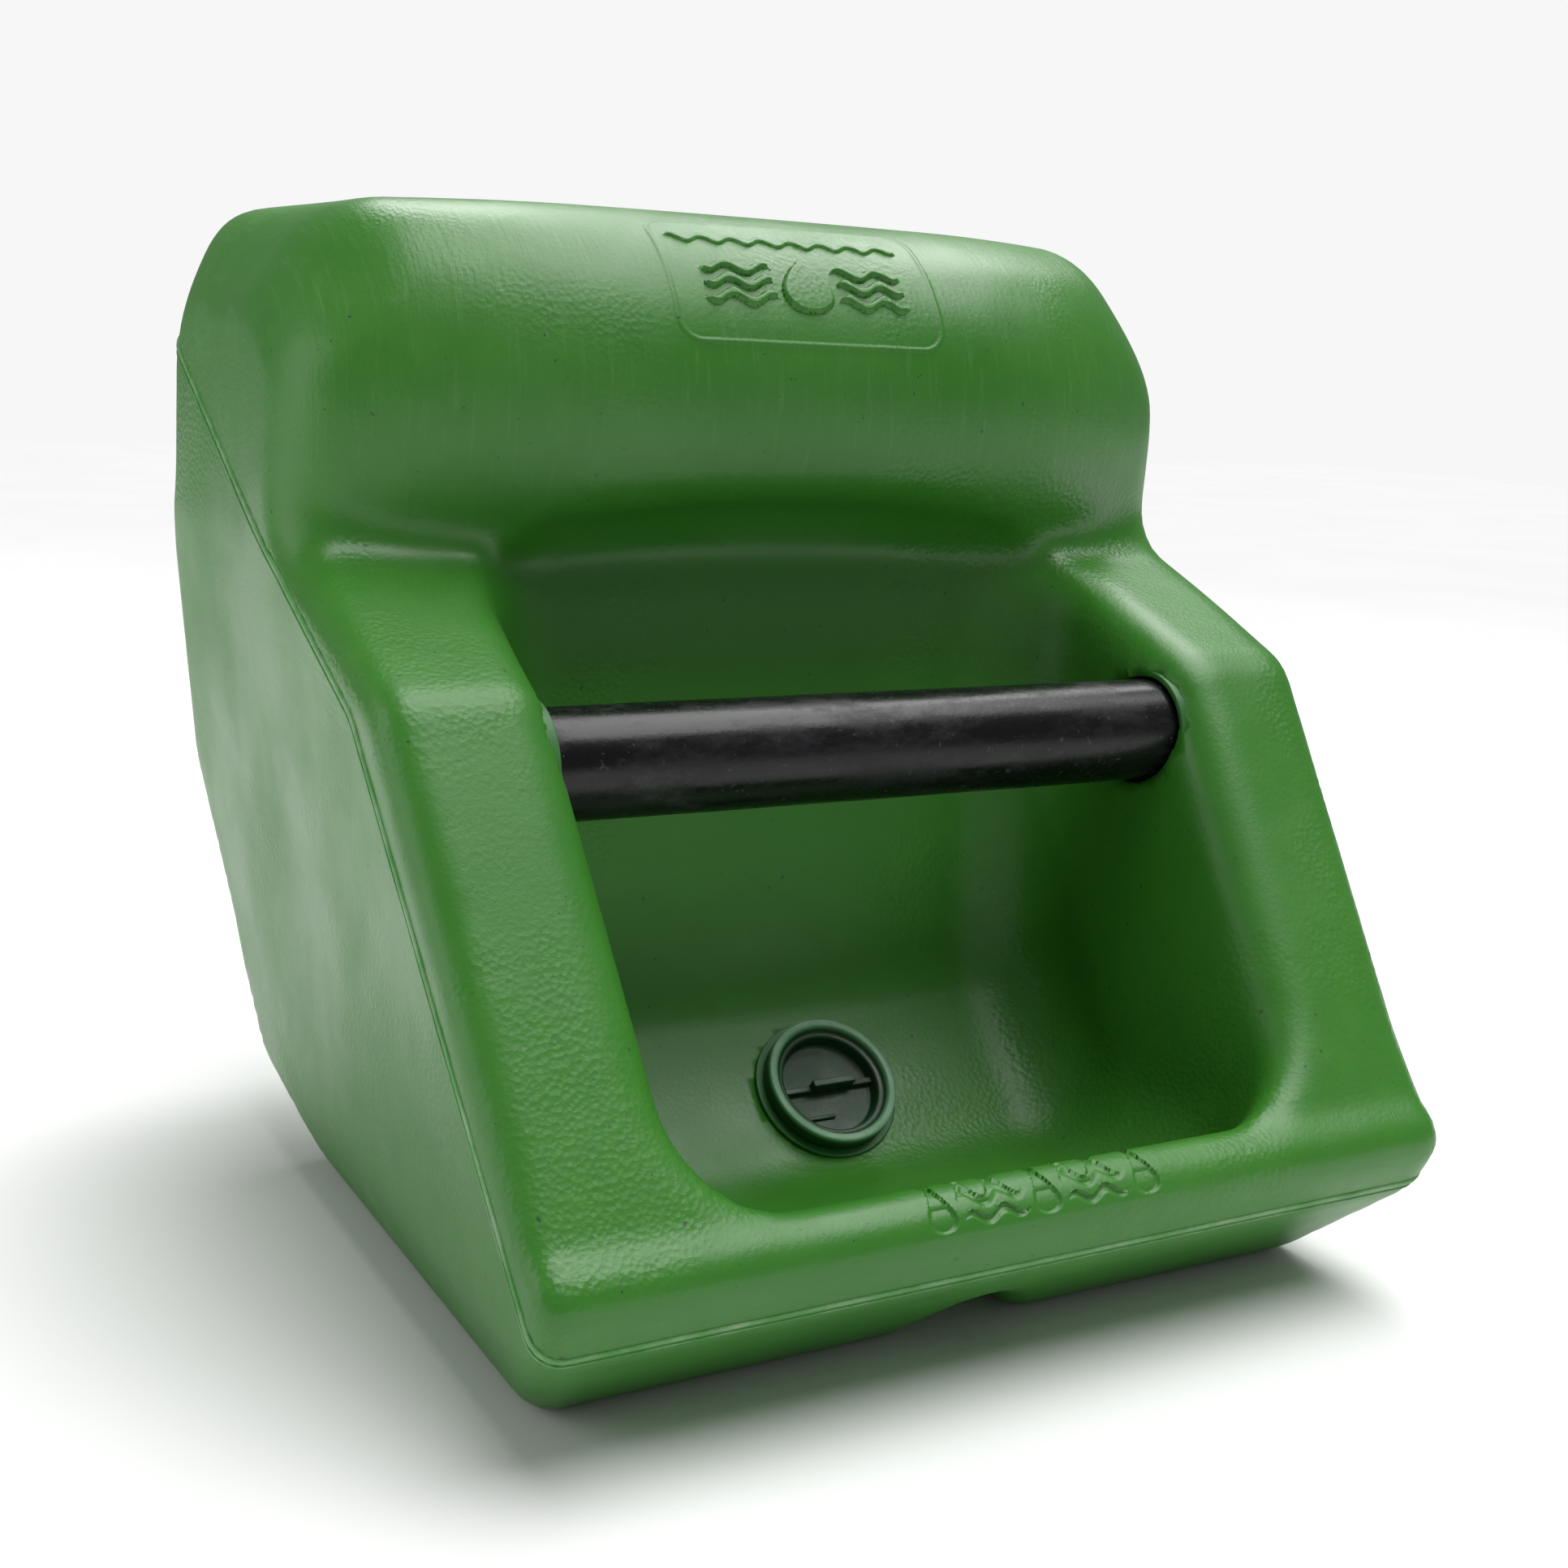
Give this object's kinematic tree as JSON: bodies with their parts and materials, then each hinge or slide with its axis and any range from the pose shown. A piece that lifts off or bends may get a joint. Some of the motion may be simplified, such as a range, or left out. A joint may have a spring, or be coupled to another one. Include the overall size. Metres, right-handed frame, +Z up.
{
  "type": "animal drinking fountain",
  "caption": "Hollow moulded animal waterer with a hooded drinking bowl, a round cross bar between its arms and a screw plug in the sloping bowl floor.",
  "frame": {"origin": "centre of the base, midway between the lip and the back, on the plane the feet stand on", "axes": "+X to the right of someone facing the bowl, +Y from the lip to the back, +Z up"},
  "size_m": [0.4136, 0.4138, 0.409],
  "materials": {
    "body_green": "satin moulded polyethylene",
    "seam_green": "weld bead, lightly scuffed",
    "socket_green": "moulded polyethylene",
    "bar_black": "satin, dusty",
    "cap_black": "matt",
    "seal_rubber": "matt",
    "port_green": "satin",
    "nut_plastic": "matt",
    "plug_green": "satin"
  },
  "bodies": {
    "root": {"front_shell": "body_green", "rear_shell": "body_green", "seam_weld": "seam_green", "bar_socket_left": "socket_green", "bar_socket_right": "socket_green", "port_gasket": "seal_rubber", "port_flange": "port_green", "port_nut": "nut_plastic"},
    "crossbar": {"crossbar_tube": "bar_black", "crossbar_cap_left": "cap_black", "crossbar_cap_right": "cap_black"},
    "plug_seal": {"plug_washer": "seal_rubber"},
    "plug": {"plug_head": "plug_green"}
  },
  "joints": [
    {"name": "crossbar_spin", "type": "hinge", "parent": "root", "child": "crossbar", "pos_m": [0, -0.06791, 0.206], "axis": [1, 0, 0], "continuous": true},
    {"name": "plug_lift", "type": "slide", "parent": "root", "child": "plug_seal", "axis": [0, -0.682, 0.7314], "range_m": [0, 0.016]},
    {"name": "plug_turn", "type": "hinge", "parent": "plug_seal", "child": "plug", "pos_m": [0, -0.04981, 0.0584], "axis": [0, -0.682, 0.7314], "range_deg": [0, 1440]}
  ],
  "couplings": [
    {"joint": "plug_lift", "follows": "plug_turn", "m_per_rad": 0.0006366}
  ]
}
